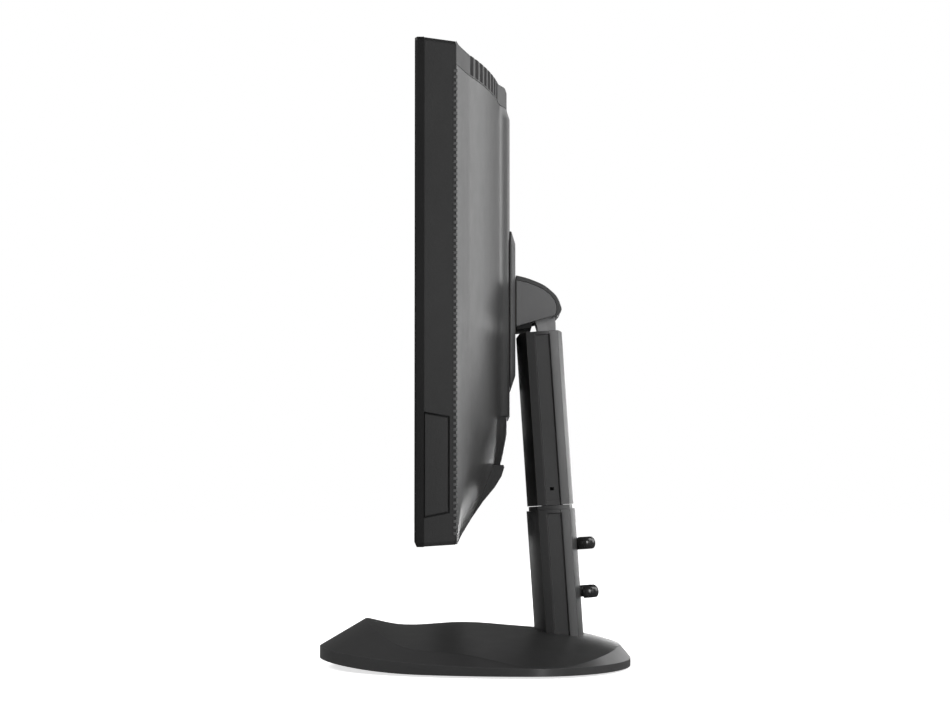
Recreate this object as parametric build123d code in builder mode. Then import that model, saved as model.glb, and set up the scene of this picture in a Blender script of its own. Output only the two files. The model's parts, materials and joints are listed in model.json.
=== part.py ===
from build123d import *
from math import cos, radians, sin
import os

# Computer monitor on a height-adjustable stand, in millimetres.
#
# X runs along the screen's width, the screen faces -Y and Z is up. The origin is on the table, under the
# middle of the base. At rest the column is at its lowest and the screen is upright and in landscape.

# Head
HEAD_W = 547.0
HEAD_H = 344.0
HEAD_LOW = 95.0
HEAD_MID_Z = HEAD_LOW + HEAD_H / 2
FRONT_Y = -40.6
BEZEL_DEPTH = 6.3
BEZEL_LIP = 2.4
BAND_FRONT_Y = FRONT_Y + BEZEL_DEPTH
BAND_BACK_Y = -13.0
SCREEN_W = 509.2
SCREEN_H = 286.4
SCREEN_MID_Z = HEAD_LOW + HEAD_H - 19.0 - SCREEN_H / 2
CHASSIS_BACK_Y = -31.1
CORNER_R = 3.0
CASE_SCREW_X = 180.0
CASE_SCREW_Z = HEAD_LOW + 9.0
CASE_SCREW_R = 1.5

# Back of the head: depth of the bulge behind the band at four widths, and its share of that depth by height
SKIN = 2.5
REAR_HALF_W = 271.2
BULGE_EDGE_X = 221.0
BULGE_MID_X = 97.0
EDGE_DEPTH = 0.4
STRIP_DEPTH = 8.9
MID_DEPTH = 26.5
CENTRE_DEPTH = 35.0
REAR_LEVELS = [(96.8, 0.06), (113, 0.33), (130, 0.62), (150, 0.86), (175, 1.0), (420, 1.0), (436, 0.95)]
PLATEAU_Y = 26.0
VENT_LOW = 420.0
VENT_HIGH = 432.5
VENT_SLOTS = 8
VENT_SLOT_W = 10.0
VENT_PITCH = 15.6
BAY_HALF_W = 98.0
BAY_TOP = 152.6
BAY_ROOF = 147.4
INLET_X = -50.0

# Mount and pivot
PIVOT_Z = 270.0
MOUNT_SPACING = 100.0
MOUNT_SCREW_R = 2.0
MOUNT_HEAD_R = 3.8
PLATE_W = 110.0
PLATE_T = 2.0
PLATE_COVER_W = 118.0
PLATE_COVER_BACK = 30.4
PIVOT_R = 8.0
RUNNING = 0.05
SNUG = 0.02
WASHER_R = 15.0

# Tilt hinge
TILT_Y = 52.0
TILT_Z = 274.0
TILT_R = 5.0
BARREL_R = 8.5
NECK_HALF_W = 17.0
CHEEK_IN = 18.0
CHEEK_T = 3.0

# Column, measured along its own leaning axis
LEAN = 3.8
FOOT_Y = 67.3
COLUMN = Plane(
    origin=(0, FOOT_Y, 0),
    x_dir=(1, 0, 0),
    z_dir=(0, -sin(radians(LEAN)), cos(radians(LEAN))),
)
FLAT = 12.0
UPPER_HALF_W = 43.0
UPPER_FRONT = 19.0
UPPER_REAR = 16.3
SIDE_CROWN = 1.0
LOWER_GROW = 0.9
CAVITY_HALF_W = 38.6
CAVITY_FLAT = 10.3
CAVITY_FRONT = 16.8
CAVITY_REAR = 14.1
RECESS_HALF = 5.0
RECESS_DEPTH = 2.0
RECESS_END = 3.0
LOWER_TOP = 119.5
LOWER_RECESS_LOW = 25.0
CAP_LOW = LOWER_TOP - 3.4
UPPER_LOW = 123.2
CAP_HIGH = UPPER_LOW - 0.5
COLLAR_INSET = 1.0
UPPER_TOP = 254.5
MAST_TOP = 215.0
SLIDE_LOW = 30.0
SLIDE_TOP = 218.0
CARRIAGE_TOP = 248.0
SPRING_H = 233.0

# Base
BASE_WIDEST_Y = 40.0
BASE_HALF_W = 160.0
BASE_FRONT = 158.5
BASE_REAR = 78.5
BASE_LOW = 1.6
BASE_HIGH = 37.0
BASE_SKIN = 3.0
LIP_LIFT = 6.6
DOME_DROP = 19.0
DOME_HALF_W = 148.0
DOME_PROFILE = [(-130, 38), (-86, 35.5), (-62, 31.8), (-15, 33), (30, 30.5), (83, 25), (110, 17.5), (130, 9)]
DOME_STATIONS = (-165, -80, 0, 80, 165)
# Side bevel: level, half width, front and rear of the ellipses at its foot and at its top
BEVEL_FOOT = (-22.2, 205.0, 222.0, 103.4)
BEVEL_TOP = (BASE_HIGH, 115.0, 124.0, 53.6)
WEIGHT_LOW = 4.3
WEIGHT_TOP = 8.3
FOOT_TOP = 12.3
BOSS_H = 8.7
BASE_SCREW_R = 1.5
TURN_Y = 10.0
TURN_R = 85.0
FOOT_R = 7.0
FOOT_RING_R = TURN_R - 12
FEET = 6
STUD_R = 6.0

# Controls in the lower bezel
BUTTON_Z = HEAD_LOW + 14.0
BUTTON_W = 11.0
BUTTON_H = 5.0
BUTTON_GAP = 0.3
MENU_X = [152.0, 172.0, 192.0, 212.0]
POWER_X = 238.0

os.makedirs("parts", exist_ok=True)


def finish(piece, label):
    """Name the finished piece and write it."""
    piece.part.label = label
    export_step(piece.part, f"parts/{label}.step")


def upright(y):
    """The XZ plane at depth y; extruding by a negative amount goes towards the back."""
    return Plane.XZ.offset(-y)


# ---------------------------------------------------------------- base


def egg(height, half_w, front, rear):
    """Plan outline of the base: two half ellipses that share their width."""
    with BuildSketch(Plane.XY.offset(height)) as outline:
        with BuildLine():
            EllipticalCenterArc((0, BASE_WIDEST_Y), half_w, rear, 0, arc_size=180)
            EllipticalCenterArc((0, BASE_WIDEST_Y), half_w, front, 180, arc_size=180)
        make_face()
    return outline.sketch


def dome_section(x, inset):
    """Side profile of the base's top surface at width x, lower towards the sides."""
    drop = DOME_DROP * (x / DOME_HALF_W) ** 2 + inset
    profile = [(y, z - drop) for y, z in DOME_PROFILE]
    with BuildSketch(Plane.YZ.offset(x)) as section:
        with BuildLine():
            top = Spline(*profile)
            Polyline(top @ 1, (130, -40), (-130, -40), top @ 0)
        make_face()
    return section.sketch


def bevel_plan(ellipse, inset):
    """Plan of the side bevel at its foot or its top, moved in by inset."""
    height, half_w, front, rear = ellipse
    return egg(height, half_w - inset, front - inset, rear - inset)


def base_block(inset):
    """The base as a closed block: outline, side bevel and domed top, all moved in by inset."""
    with BuildPart() as block:
        extrude(egg(0, BASE_HALF_W - inset, BASE_FRONT - inset, BASE_REAR - inset), amount=BASE_HIGH)
        loft([bevel_plan(BEVEL_FOOT, inset), bevel_plan(BEVEL_TOP, inset)], mode=Mode.INTERSECT)
        loft([dome_section(x, inset) for x in DOME_STATIONS], mode=Mode.INTERSECT)
    return block.part


def column_outline(height, grow=0.0):
    """Column section: curved front and back, and slightly crowned sides."""
    half_w = UPPER_HALF_W + grow
    edge = half_w - SIDE_CROWN
    with BuildSketch(COLUMN.offset(height)) as outline:
        with BuildLine():
            ThreePointArc((-edge, -FLAT), (0, -UPPER_FRONT - grow), (edge, -FLAT))
            ThreePointArc((edge, -FLAT), (half_w, 0), (edge, FLAT))
            ThreePointArc((edge, FLAT), (0, UPPER_REAR + grow), (-edge, FLAT))
            ThreePointArc((-edge, FLAT), (-half_w, 0), (-edge, -FLAT))
        make_face()
    return outline.sketch


def cavity_outline(height, gap=0.0):
    """Inside of the column shells."""
    half_w = CAVITY_HALF_W - gap
    with BuildSketch(COLUMN.offset(height)) as outline:
        with BuildLine():
            ThreePointArc((-half_w, -CAVITY_FLAT), (0, -CAVITY_FRONT + gap), (half_w, -CAVITY_FLAT))
            Line((half_w, -CAVITY_FLAT), (half_w, CAVITY_FLAT))
            ThreePointArc((half_w, CAVITY_FLAT), (0, CAVITY_REAR - gap), (-half_w, CAVITY_FLAT))
            Line((-half_w, CAVITY_FLAT), (-half_w, -CAVITY_FLAT))
        make_face()
    return outline.sketch


def column_box(height, half_w, low_y, high_y):
    """Rectangle across the column."""
    with BuildSketch(COLUMN.offset(height)) as outline:
        with Locations((0, (low_y + high_y) / 2)):
            Rectangle(2 * half_w, high_y - low_y)
    return outline.sketch


with BuildPart() as turntable_plate:
    with BuildSketch(Plane.XY.offset(1.6)):
        with Locations((0, TURN_Y)):
            Circle(TURN_R)
            Circle(STUD_R + 0.1, mode=Mode.SUBTRACT)
    extrude(amount=1.6)
finish(turntable_plate, "turntable_plate")

with BuildPart() as rubber_feet:
    with BuildSketch(Plane.XY):
        with Locations((0, TURN_Y)):
            with PolarLocations(FOOT_RING_R, FEET, start_angle=30):
                Circle(FOOT_R)
    extrude(amount=1.6)
finish(rubber_feet, "rubber_feet")

with BuildPart() as swivel_ring:
    with BuildSketch(Plane.XY.offset(3.2)):
        with Locations((0, TURN_Y)):
            Circle(76)
            Circle(62, mode=Mode.SUBTRACT)
    extrude(amount=1.0)
finish(swivel_ring, "swivel_ring")

with BuildPart() as swivel_stud:
    with BuildSketch(Plane.XY.offset(1.7)):
        with Locations((0, TURN_Y)):
            Circle(STUD_R)
    extrude(amount=12)
    with BuildSketch(Plane.XY.offset(8.5)):
        with Locations((0, TURN_Y)):
            Circle(13)
    extrude(amount=2)
    with BuildSketch(Plane.XY.offset(10.5)):
        with Locations((0, TURN_Y)):
            RegularPolygon(10, 6)
    extrude(amount=4)
finish(swivel_stud, "swivel_stud")

base_screw_points = [(-115, 30), (115, 30), (-70, 88), (70, 88)]

with BuildPart() as base_weight_plate:
    extrude(egg(WEIGHT_LOW, BASE_HALF_W - 18, 115, 66), amount=WEIGHT_TOP - WEIGHT_LOW)
    with Locations((0, TURN_Y, WEIGHT_LOW)):
        Cylinder(STUD_R + RUNNING, 20, mode=Mode.SUBTRACT)
    with BuildSketch(Plane.XY.offset(WEIGHT_TOP)):
        with Locations(*base_screw_points):
            Circle(BASE_SCREW_R + 0.7)
    extrude(amount=-10, mode=Mode.SUBTRACT)
finish(base_weight_plate, "base_weight_plate")

# the space inside the base stops short of the front lip, which is solid
with BuildPart() as base_hollow:
    add(base_block(BASE_SKIN))
    extrude(egg(-5, BASE_HALF_W - BASE_SKIN, 118, BASE_REAR - BASE_SKIN), amount=60, mode=Mode.INTERSECT)

with BuildPart() as base_cover:
    add(base_block(0))
    with Locations((0, 0, BASE_LOW - 25)):
        Box(400, 400, 50, mode=Mode.SUBTRACT)
    # the underside of the front lip lifts in a long arc
    with BuildSketch(Plane.YZ):
        with BuildLine():
            under = TangentArc((-40, BASE_LOW), (-125, BASE_LOW + LIP_LIFT), tangent=(-1, 0))
            Polyline(under @ 1, (-125, -5), (-40, -5), under @ 0)
        make_face()
    extrude(amount=200, both=True, mode=Mode.SUBTRACT)
    # hollow above the weight plate, and the socket that the column stands in
    add(base_hollow.part, mode=Mode.SUBTRACT)
    extrude(column_outline(15, LOWER_GROW + 0.3), amount=60, mode=Mode.SUBTRACT)
    # bosses down to the weight plate
    with BuildSketch(Plane.XY.offset(WEIGHT_TOP)):
        with Locations(*base_screw_points):
            Circle(4)
            Circle(BASE_SCREW_R + RUNNING, mode=Mode.SUBTRACT)
    extrude(amount=BOSS_H)
finish(base_cover, "base_cover")

with BuildPart() as base_screws:
    with BuildSketch(Plane.XY.offset(WEIGHT_LOW - 0.1)):
        with Locations(*base_screw_points):
            Circle(BASE_SCREW_R)
    extrude(amount=11)
    with BuildSketch(Plane.XY.offset(WEIGHT_LOW - 1.6)):
        with Locations(*base_screw_points):
            Circle(3.2)
    extrude(amount=1.6)
finish(base_screws, "base_screws")

# ---------------------------------------------------------------- column


def tube(low, high, half_w, half_d, wall):
    """Rectangular steel tube along the column."""
    with BuildPart() as body:
        extrude(column_box(low, half_w, -half_d, half_d), amount=high - low)
        extrude(column_box(low - 1, half_w - wall, wall - half_d, half_d - wall), amount=high - low + 2,
                mode=Mode.SUBTRACT)
    return body.part


def column_shell(low, high, recess_low, grow, front):
    """Half of a column casing. The front half carries the recessed strip along each side."""
    length = high - low
    recess_length = high - RECESS_END - recess_low
    joint_y = RECESS_HALF - 0.2 if front else RECESS_HALF
    with BuildPart() as shell:
        extrude(column_outline(low, grow), amount=length)
        extrude(cavity_outline(low - 1), amount=length + 2, mode=Mode.SUBTRACT)
        for side in (-1, 1):
            with BuildSketch(COLUMN.offset(recess_low)):
                with Locations((side * (UPPER_HALF_W + grow), 0)):
                    Rectangle(2 * RECESS_DEPTH, 2 * RECESS_HALF)
            extrude(amount=recess_length, mode=Mode.SUBTRACT)
        if front:
            extrude(column_box(low - 1, 60, joint_y, 40), amount=length + 2, mode=Mode.SUBTRACT)
        else:
            extrude(column_box(low - 1, 60, -40, joint_y), amount=length + 2, mode=Mode.SUBTRACT)
    return shell.part


with BuildPart() as mast_foot:
    with Locations((0, FOOT_Y - 0.7, (WEIGHT_TOP + FOOT_TOP) / 2)):
        Box(66, 19, FOOT_TOP - WEIGHT_TOP)
finish(mast_foot, "mast_foot")

with BuildPart() as mast:
    add(tube(2, MAST_TOP, 24.5, 4.5, 1.5))
    with Locations((0, FOOT_Y, FOOT_TOP - 20)):
        Box(100, 100, 40, mode=Mode.SUBTRACT)
finish(mast, "mast")

with BuildPart() as mast_pad:
    add(tube(MAST_TOP - 14, MAST_TOP - 2, 25.95, 5.95, 1.4))
finish(mast_pad, "mast_pad")

with BuildPart() as lower_column_front:
    add(column_shell(2, LOWER_TOP, LOWER_RECESS_LOW, LOWER_GROW, True))
    with Locations((0, FOOT_Y, WEIGHT_TOP - 20)):
        Box(120, 100, 40, mode=Mode.SUBTRACT)
finish(lower_column_front, "lower_column_front")

with BuildPart() as lower_column_rear:
    add(column_shell(2, LOWER_TOP, LOWER_RECESS_LOW, LOWER_GROW, False))
    with Locations((0, FOOT_Y, WEIGHT_TOP - 20)):
        Box(120, 100, 40, mode=Mode.SUBTRACT)
finish(lower_column_rear, "lower_column_rear")

# the cap plugs the lower casing, and its collar nearly fills the gap below the upper one
with BuildPart() as lower_column_cap:
    extrude(cavity_outline(CAP_LOW, 0.1), amount=LOWER_TOP - CAP_LOW + 1)
    extrude(column_outline(LOWER_TOP + 0.1, -COLLAR_INSET), amount=CAP_HIGH - LOWER_TOP - 0.1)
    extrude(column_box(CAP_LOW - 1, 28.2, -8.2, 8.2), amount=CAP_HIGH - CAP_LOW + 2, mode=Mode.SUBTRACT)
finish(lower_column_cap, "lower_column_cap")


def cable_hook(low, side):
    """Open ring on the back of the column; its mouth faces side."""
    with BuildPart() as hook:
        with BuildSketch(COLUMN.offset(low)):
            with Locations((0, 22.5)):
                RectangleRounded(38, 17, 6)
            with Locations((0, 23.6)):
                RectangleRounded(32.6, 9.6, 4, mode=Mode.SUBTRACT)
            with Locations((side * 17, 23.6)):
                Rectangle(12, 5, mode=Mode.SUBTRACT)
        extrude(amount=9)
        extrude(column_outline(low - 1, LOWER_GROW + 0.02), amount=12, mode=Mode.SUBTRACT)
    return hook


finish(cable_hook(88, -1), "cable_hook_upper")
finish(cable_hook(51, 1), "cable_hook_lower")

with BuildPart() as middle_slide:
    add(tube(SLIDE_LOW, SLIDE_TOP, 27.5, 7.5, 1.5))
finish(middle_slide, "middle_slide")

with BuildPart() as slide_pads:
    add(tube(SLIDE_LOW, SLIDE_LOW + 10, 26, 6, 1.42))
    add(tube(SLIDE_TOP - 12, SLIDE_TOP - 2, 28.92, 8.92, 1.42))
finish(slide_pads, "slide_pads")

# the carriage's lower end is moulded thicker, to guide it on the middle slide
with BuildPart() as carriage:
    add(tube(UPPER_LOW + 1, CARRIAGE_TOP, 30.6, 10.6, 1.6))
    add(tube(UPPER_LOW + 1, UPPER_LOW + 11, 29, 9, 1.42))
finish(carriage, "carriage")

with BuildPart() as upper_column_front:
    add(column_shell(UPPER_LOW, UPPER_TOP, UPPER_LOW + RECESS_END, 0, True))
    # lock-pin hole in the recessed strip
    with BuildSketch(COLUMN.offset(UPPER_LOW + 11)):
        with Locations((UPPER_HALF_W, -0.5)):
            Rectangle(14, 3)
    extrude(amount=2.4, mode=Mode.SUBTRACT)
    # the front edge of the top is cut back so that the head can lean forward
    with BuildSketch(Plane.YZ):
        with Locations((31.2, 254.5)):
            Rectangle(4.4, 6, rotation=45)
    extrude(amount=60, both=True, mode=Mode.SUBTRACT)
finish(upper_column_front, "upper_column_front")

with BuildPart() as upper_column_rear:
    add(column_shell(UPPER_LOW, UPPER_TOP, UPPER_LOW + RECESS_END, 0, False))
finish(upper_column_rear, "upper_column_rear")

with BuildPart() as column_cap:
    extrude(cavity_outline(UPPER_TOP - 4.6, 0.1), amount=2.4)
    extrude(column_box(UPPER_TOP - 6, NECK_HALF_W + 0.6, -5.5, 13.2), amount=8, mode=Mode.SUBTRACT)
finish(column_cap, "column_cap")

spring_plane = Plane(COLUMN.offset(SPRING_H).origin, x_dir=(0, 1, 0), z_dir=(1, 0, 0))
with BuildPart() as spring_drum:
    with BuildSketch(spring_plane):
        Circle(4)
    extrude(amount=28.9, both=True)
finish(spring_drum, "spring_drum")

with BuildPart() as lift_spring:
    with BuildSketch(spring_plane):
        Circle(8.4)
        Circle(4.1, mode=Mode.SUBTRACT)
    extrude(amount=11, both=True)
finish(lift_spring, "lift_spring")

# ---------------------------------------------------------------- tilt hinge

with BuildPart() as neck:
    extrude(column_box(CARRIAGE_TOP - 4, 28.9, -8.9, 8.9), amount=5)
    with BuildSketch(Plane.YZ):
        with BuildLine():
            Polyline((47.5, 248.4), (62, 248.4), (61.6, 262), (TILT_Y + 7.5, TILT_Z + 2),
                     (TILT_Y - 7.5, TILT_Z + 2), (TILT_Y - 8, TILT_Z - 5), (47.5, 258), (47.5, 248.4))
        make_face()
        with Locations((TILT_Y, TILT_Z)):
            Circle(BARREL_R)
            Circle(TILT_R + RUNNING, mode=Mode.SUBTRACT)
    extrude(amount=NECK_HALF_W, both=True)
    # window between the two ears for the torsion spring
    with Locations((0, TILT_Y, TILT_Z + 2)):
        Box(18, 24, 26, mode=Mode.SUBTRACT)
finish(neck, "neck")

tilt_plane = Plane((0, TILT_Y, TILT_Z), x_dir=(0, 1, 0), z_dir=(1, 0, 0))
with BuildPart() as tilt_shaft:
    with BuildSketch(tilt_plane):
        Circle(TILT_R)
    extrude(amount=24, both=True)
    with BuildSketch(tilt_plane.offset(-24)):
        Circle(7)
    extrude(amount=2.9)
finish(tilt_shaft, "tilt_shaft")

with BuildPart() as tilt_nut:
    with BuildSketch(tilt_plane.offset(CHEEK_IN + CHEEK_T + 0.1)):
        RegularPolygon(7.6, 6)
        Circle(TILT_R + SNUG, mode=Mode.SUBTRACT)
    extrude(amount=2.8)
finish(tilt_nut, "tilt_nut")

with BuildPart() as tilt_washers:
    for x in (-CHEEK_IN + 0.05, NECK_HALF_W + 0.05):
        with BuildSketch(tilt_plane.offset(x)):
            Circle(8)
            Circle(TILT_R + SNUG, mode=Mode.SUBTRACT)
        extrude(amount=0.9)
finish(tilt_washers, "tilt_washers")

with BuildPart() as tilt_spring:
    for turn in range(6):
        with BuildSketch(Plane((-6.5 + 2.6 * turn, TILT_Y, TILT_Z), x_dir=(1, 0, 0), z_dir=(0, 0, 1))):
            with Locations((0, 7.2)):
                Circle(1.1)
        revolve(axis=Axis((0, TILT_Y, TILT_Z), (1, 0, 0)))
finish(tilt_spring, "tilt_spring")

with BuildPart() as tilt_bracket:
    with Locations((0, 32.8, PIVOT_Z + 4.5)):
        Box(48, 3, 30)
    for x in (-CHEEK_IN - CHEEK_T, CHEEK_IN):
        with BuildSketch(Plane.YZ.offset(x)):
            with BuildLine():
                Polyline((32, 260.5), (TILT_Y - 1, TILT_Z - 8.4), (TILT_Y + 6, TILT_Z),
                         (TILT_Y - 1, TILT_Z + 8.4), (32, 288.5), (32, 260.5))
            make_face()
            with Locations((TILT_Y, TILT_Z)):
                Circle(BARREL_R)
                Circle(TILT_R + SNUG, mode=Mode.SUBTRACT)
        extrude(amount=CHEEK_T)
    with Locations((0, 32.8, PIVOT_Z)):
        Cylinder(PIVOT_R + SNUG, 20, rotation=(90, 0, 0), mode=Mode.SUBTRACT)
finish(tilt_bracket, "tilt_bracket")

with BuildPart() as tilt_cover:
    with BuildSketch(Plane.YZ):
        with BuildLine():
            crown = Spline((66, 271), (62.6, 280), (55.5, 286.3), (45.5, 291.8), (31.1, 297.2))
            Polyline(crown @ 1, (31.1, 258.2), (61, 266.8), (63, 266.2), crown @ 0)
        make_face()
    extrude(amount=31, both=True)
    fillet(tilt_cover.faces().sort_by(Axis.Y)[-1].edges().filter_by(Axis.X), radius=0.4)
    with BuildSketch(Plane.YZ):
        with BuildLine():
            Polyline((30, 254), (64, 264), (63, 271.3), (59.6, 279), (54, 283.9), (44.8, 289.4), (30, 294.9),
                     (30, 254))
        make_face()
    extrude(amount=28.8, both=True, mode=Mode.SUBTRACT)
    with Locations((0, 58, 264)):
        Box(2 * (NECK_HALF_W + 1.6), 28, 30, mode=Mode.SUBTRACT)
finish(tilt_cover, "tilt_cover")

# ---------------------------------------------------------------- pivot and mount

mount_offsets = (-MOUNT_SPACING / 2, MOUNT_SPACING / 2)
mount_points = [(x, PIVOT_Z + z) for x in mount_offsets for z in mount_offsets]

with BuildPart() as pivot_shaft:
    with BuildSketch(upright(19)):
        with Locations((0, PIVOT_Z)):
            Circle(PIVOT_R)
    extrude(amount=-18)
    with BuildSketch(upright(34.4)):
        with Locations((0, PIVOT_Z)):
            Circle(9.5)
    extrude(amount=-2.6)
finish(pivot_shaft, "pivot_shaft")

with BuildPart() as pivot_nut:
    with BuildSketch(upright(20)):
        with Locations((0, PIVOT_Z)):
            RegularPolygon(14, 6)
            Circle(PIVOT_R + SNUG, mode=Mode.SUBTRACT)
    extrude(amount=-4.4)
finish(pivot_nut, "pivot_nut")

with BuildPart() as pivot_spring_washer:
    with BuildSketch(upright(24.5)):
        with Locations((0, PIVOT_Z)):
            Circle(WASHER_R)
            Circle(PIVOT_R + SNUG, mode=Mode.SUBTRACT)
    extrude(amount=-1.4)
finish(pivot_spring_washer, "pivot_spring_washer")

with BuildPart() as mount_plate:
    with BuildSketch(upright(PLATEAU_Y)):
        with Locations((0, PIVOT_Z)):
            RectangleRounded(PLATE_W, PLATE_W, 8)
            Circle(PIVOT_R + RUNNING, mode=Mode.SUBTRACT)
        with Locations(*mount_points):
            Circle(MOUNT_SCREW_R + 0.2, mode=Mode.SUBTRACT)
    extrude(amount=-PLATE_T)
    for x, z in mount_points:
        with BuildSketch(upright(PLATEAU_Y + PLATE_T)):
            with Locations((x, z)):
                Circle(MOUNT_HEAD_R + 0.2)
        extrude(amount=1.8, taper=45, mode=Mode.SUBTRACT)
finish(mount_plate, "mount_plate")

with BuildPart() as mount_screws:
    with BuildSketch(upright(16)):
        with Locations(*mount_points):
            Circle(MOUNT_SCREW_R)
    extrude(amount=-11.9)
    for x, z in mount_points:
        with BuildSketch(upright(PLATEAU_Y + PLATE_T)):
            with Locations((x, z)):
                Circle(MOUNT_HEAD_R)
        extrude(amount=1.75, taper=45)
finish(mount_screws, "mount_screws")

with BuildPart() as friction_washer:
    with BuildSketch(upright(PLATEAU_Y + PLATE_T)):
        with Locations((0, PIVOT_Z)):
            Circle(WASHER_R)
            Circle(PIVOT_R + RUNNING, mode=Mode.SUBTRACT)
    extrude(amount=-3.2)
finish(friction_washer, "friction_washer")

with BuildPart() as plate_cover:
    with BuildSketch(upright(PLATEAU_Y)):
        with Locations((0, PIVOT_Z)):
            RectangleRounded(PLATE_COVER_W, PLATE_COVER_W, 12)
    extrude(amount=-1.4)
    with BuildSketch(upright(PLATEAU_Y + 1.4)):
        with Locations((0, PIVOT_Z)):
            RectangleRounded(PLATE_COVER_W, PLATE_COVER_W, 12)
    with BuildSketch(upright(PLATE_COVER_BACK)):
        with Locations((0, PIVOT_Z)):
            RectangleRounded(PLATE_COVER_W - 18, PLATE_COVER_W - 18, 8)
    loft()
    with BuildSketch(upright(PLATEAU_Y)):
        with Locations((0, PIVOT_Z)):
            RectangleRounded(PLATE_W + 2, PLATE_W + 2, 9)
    extrude(amount=-2.1, mode=Mode.SUBTRACT)
    with BuildSketch(upright(PLATEAU_Y)):
        with Locations((0, PIVOT_Z)):
            Circle(WASHER_R + 1)
    extrude(amount=-10, mode=Mode.SUBTRACT)
finish(plate_cover, "plate_cover")

# ---------------------------------------------------------------- head casing


def rear_section(height, swell, inset=0.0):
    """Plan of the head's back at one height: two flat strips and a curved bulge between them."""
    half = REAR_HALF_W - inset
    edge, strip, mid, centre = [
        BAND_BACK_Y + max(0.3, swell * depth - inset)
        for depth in (EDGE_DEPTH, STRIP_DEPTH, MID_DEPTH, CENTRE_DEPTH)
    ]
    front = BAND_BACK_Y - (1.0 if inset else 0.0)
    with BuildSketch(Plane.XY.offset(height)) as section:
        with BuildLine():
            Polyline((-BULGE_EDGE_X, strip), (-half, edge), (-half, front), (half, front), (half, edge),
                     (BULGE_EDGE_X, strip))
            Spline((BULGE_EDGE_X, strip), (BULGE_MID_X, mid), (0, centre), (-BULGE_MID_X, mid),
                   (-BULGE_EDGE_X, strip))
        make_face()
    return section.sketch


def rear_bulk(inset=0.0):
    """The whole back as a closed block, or the space inside it when inset is the wall thickness."""
    levels = list(REAR_LEVELS)
    if inset:
        levels[0] = (levels[0][0] + inset, levels[0][1])
        levels[-1] = (levels[-1][0] - inset, levels[-1][1])
    with BuildPart() as bulk:
        loft([rear_section(z, swell, inset) for z, swell in levels], ruled=True)
    return bulk.part


def plateau(inset=0.0):
    """Raised panel in the middle of the back."""
    with BuildPart() as panel:
        with BuildSketch(upright(10 - inset)):
            with Locations((0, (180 + 424) / 2)):
                Rectangle(176 - 2 * inset, 244 - 2 * inset)
        with BuildSketch(upright(PLATEAU_Y - inset)):
            with Locations((0, (189 + 417) / 2)):
                Rectangle(128 - 2 * inset, 228 - 2 * inset)
        loft()
    return panel.part


case_screw_points = [(-CASE_SCREW_X, CASE_SCREW_Z), (CASE_SCREW_X, CASE_SCREW_Z)]

with BuildPart() as rear_cover:
    add(rear_bulk())
    add(plateau())
    add(rear_bulk(SKIN), mode=Mode.SUBTRACT)
    add(plateau(SKIN), mode=Mode.SUBTRACT)
    # window for the vent panel
    with Locations((0, 10, (VENT_LOW + VENT_HIGH) / 2)):
        Box(2 * BULGE_EDGE_X + 1.6, 38, VENT_HIGH - VENT_LOW, mode=Mode.SUBTRACT)
    # connector bay
    with Locations((0, 8, (80 + BAY_TOP) / 2)):
        Box(2 * BAY_HALF_W, 60, BAY_TOP - 80, mode=Mode.SUBTRACT)
    with BuildSketch(upright(15)):
        with Locations((0, PIVOT_Z)):
            Circle(20)
        with Locations(*mount_points):
            Circle(2.3)
    extrude(amount=-20, mode=Mode.SUBTRACT)
    with BuildSketch(upright(-20)):
        with Locations(*case_screw_points):
            Circle(1.8)
    extrude(amount=-20, mode=Mode.SUBTRACT)
    with BuildSketch(upright(-12)):
        with Locations(*case_screw_points):
            Circle(3.2)
    extrude(amount=-20, mode=Mode.SUBTRACT)
finish(rear_cover, "rear_cover")

with BuildPart() as vent_panel:
    add(rear_bulk())
    with Locations((0, 10, (VENT_LOW + VENT_HIGH) / 2)):
        Box(2 * BULGE_EDGE_X + 1.0, 37, VENT_HIGH - VENT_LOW - 0.2, mode=Mode.INTERSECT)
    add(rear_bulk(SKIN), mode=Mode.SUBTRACT)
    for side in (-1, 1):
        for slot in range(VENT_SLOTS):
            with Locations((side * (214 - slot * VENT_PITCH), 10, (VENT_LOW + VENT_HIGH) / 2)):
                Box(VENT_SLOT_W, 60, VENT_HIGH - VENT_LOW - 3, mode=Mode.SUBTRACT)
finish(vent_panel, "vent_panel")

with BuildPart() as connector_hood:
    with BuildSketch(Plane.YZ):
        with BuildLine():
            Polyline((-12.9, 97), (-12.2, 97), (-2.7, 113), (5.9, 125.5), (14.6, 136), (19.5, 144),
                     (21.5, 150.5), (21, 152.3), (-12.9, 152.3), (-12.9, 97))
        make_face()
    extrude(amount=BAY_HALF_W - 0.3, both=True)
    with BuildSketch(Plane.YZ):
        with BuildLine():
            Polyline((-14, 98.8), (-5.3, 113), (3.3, 125.5), (12, 136), (16.9, 144), (18.6, 150), (12.4, 150),
                     (12.4, 160), (-14, 160), (-14, 98.8))
        make_face()
    extrude(amount=BAY_HALF_W - 2.6, both=True, mode=Mode.SUBTRACT)
    with Locations((0, -2, 105)):
        Box(120, 40, 26, mode=Mode.SUBTRACT)
finish(connector_hood, "connector_hood")

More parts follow.
